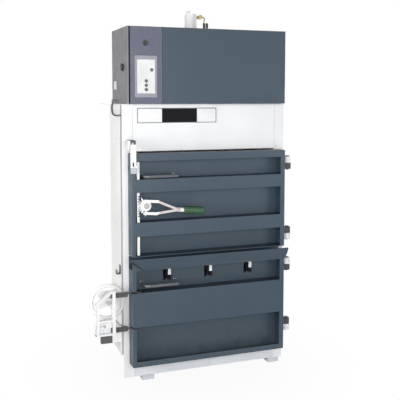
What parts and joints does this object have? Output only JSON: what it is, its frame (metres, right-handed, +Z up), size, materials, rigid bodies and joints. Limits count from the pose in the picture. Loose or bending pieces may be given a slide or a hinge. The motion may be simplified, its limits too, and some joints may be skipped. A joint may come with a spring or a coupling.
{
  "type": "recycling baler",
  "caption": "Free-standing vertical baler with a ribbed feed door, a bale door with side clamp, a rack-and-lever lock, a control hood and a hydraulic press cylinder behind it.",
  "frame": {"origin": "on the floor under the press cylinder's axis, at the middle of the baling chamber", "axes": "+X to the right seen from the front, +Y to the rear, +Z up along the press cylinder"},
  "size_m": [1.126, 0.677, 1.992],
  "materials": {
    "body_white": "semi-gloss powder coat",
    "slate": "satin powder coat",
    "hood_grey": "satin powder coat",
    "strip_grey": "satin powder coat",
    "cylinder_grey": "gloss paint",
    "chamber_steel": "rolled, worn by bales",
    "bright_steel": "turned",
    "rod_chrome": "hard chrome",
    "dark_steel": "dark grey paint",
    "plated_steel": "zinc plated, yellow",
    "wheel_grey": "gloss paint",
    "white_plastic": "matte",
    "grey_plastic": "matte",
    "button_grey": "matte",
    "black_plastic": "matte",
    "green_plastic": "moulded, matte",
    "black_rubber": "matte"
  },
  "bodies": {
    "frame": {"base_frame": "body_white", "feet": "body_white", "chamber_floor": "chamber_steel", "left_wall": "body_white", "right_wall": "body_white", "rear_wall": "body_white", "left_column": "body_white", "right_column": "body_white", "upper_front_panel": "body_white", "sign_plate": "white_plastic", "top_deck": "body_white", "crosshead": "body_white", "cylinder_barrel": "cylinder_grey", "cylinder_gland": "bright_steel", "hood_shell": "hood_grey", "hood_front_cover": "slate", "hood_rear_cover": "hood_grey", "control_panel": "strip_grey", "panel_bezel": "grey_plastic", "panel_membrane": "white_plastic", "switch_base": "black_plastic", "side_plate": "white_plastic", "oil_tank": "dark_steel", "pump_motor": "cylinder_grey", "valve_block": "bright_steel", "port_elbow": "plated_steel", "pressure_pipe": "plated_steel", "bulkhead_fittings": "dark_steel", "control_cable": "black_rubber", "cable_glands": "black_plastic", "frame_hinge_lugs": "body_white", "hinge_pins": "bright_steel", "latch_keeper": "dark_steel", "clamp_bracket": "dark_steel", "side_hook": "dark_steel"},
    "ram": {"press_plate": "chamber_steel", "piston_rod": "rod_chrome"},
    "upper_door": {"upper_door_panel": "slate", "upper_door_handle": "dark_steel", "upper_door_lugs": "dark_steel", "door_bolts": "bright_steel"},
    "lever": {"lock_lever": "body_white", "lever_grip": "green_plastic"},
    "rack": {"lock_bar": "body_white", "latch_plate": "body_white"},
    "lower_door": {"lower_door_panel": "slate", "lower_door_handle": "dark_steel", "lower_door_lugs": "dark_steel", "strap_clips": "white_plastic", "strap_pads": "black_plastic"},
    "carriage": {"clamp_frame": "body_white"},
    "wheel": {"handwheel": "wheel_grey", "spindle": "bright_steel"},
    "bolts": {"clamp_bolts": "dark_steel"},
    "switch": {"switch_handle": "black_plastic"},
    "selector": {"selector_knob": "black_plastic"},
    "button_a": {"button_1": "button_grey"},
    "button_b": {"button_2": "button_grey"},
    "button_c": {"button_3": "button_grey"},
    "button_d": {"button_4": "button_grey"}
  },
  "joints": [
    {"name": "ram_slide", "type": "slide", "parent": "frame", "child": "ram", "axis": [0, 0, -1], "range_m": [0, 0.52]},
    {"name": "upper_door_hinge", "type": "hinge", "parent": "frame", "child": "upper_door", "pos_m": [0.462, -0.295, 0.96], "axis": [0, 0, 1], "range_deg": [0, 150]},
    {"name": "lever_turn", "type": "hinge", "parent": "upper_door", "child": "lever", "pos_m": [-0.354, -0.321, 0.957], "axis": [0, 1, 0], "range_deg": [0, 24]},
    {"name": "rack_slide", "type": "slide", "parent": "upper_door", "child": "rack", "axis": [0, 0, 1], "range_m": [0, 0.0168]},
    {"name": "lower_door_hinge", "type": "hinge", "parent": "frame", "child": "lower_door", "pos_m": [0.462, -0.295, 0.4], "axis": [0, 0, 1], "range_deg": [0, 150]},
    {"name": "clamp_slide", "type": "slide", "parent": "frame", "child": "carriage", "axis": [0, 1, 0], "range_m": [0, 0.008]},
    {"name": "wheel_turn", "type": "hinge", "parent": "carriage", "child": "wheel", "pos_m": [-0.551, -0.277, 0.466], "axis": [0, 1, 0], "range_deg": [0, 720]},
    {"name": "bolt_slide", "type": "slide", "parent": "carriage", "child": "bolts", "axis": [1, 0, 0], "range_m": [0, 0.018]},
    {"name": "switch_turn", "type": "hinge", "parent": "frame", "child": "switch", "pos_m": [-0.447, -0.236, 1.664], "axis": [-1, 0, 0], "range_deg": [0, 90]},
    {"name": "selector_turn", "type": "hinge", "parent": "frame", "child": "selector", "pos_m": [-0.347, -0.299, 1.784], "axis": [0, 1, 0], "range_deg": [0, 60]},
    {"name": "button_1_press", "type": "slide", "parent": "frame", "child": "button_a", "axis": [0, 1, 0], "range_m": [0, 0.0015], "stiffness_N_per_m": 400},
    {"name": "button_2_press", "type": "slide", "parent": "frame", "child": "button_b", "axis": [0, 1, 0], "range_m": [0, 0.0015], "stiffness_N_per_m": 400},
    {"name": "button_3_press", "type": "slide", "parent": "frame", "child": "button_c", "axis": [0, 1, 0], "range_m": [0, 0.0015], "stiffness_N_per_m": 400},
    {"name": "button_4_press", "type": "slide", "parent": "frame", "child": "button_d", "axis": [0, 1, 0], "range_m": [0, 0.0015], "stiffness_N_per_m": 400}
  ],
  "couplings": [
    {"joint": "rack_slide", "follows": "lever_turn", "m_per_rad": 0.04},
    {"joint": "clamp_slide", "follows": "wheel_turn", "m_per_rad": 0.00063662}
  ]
}
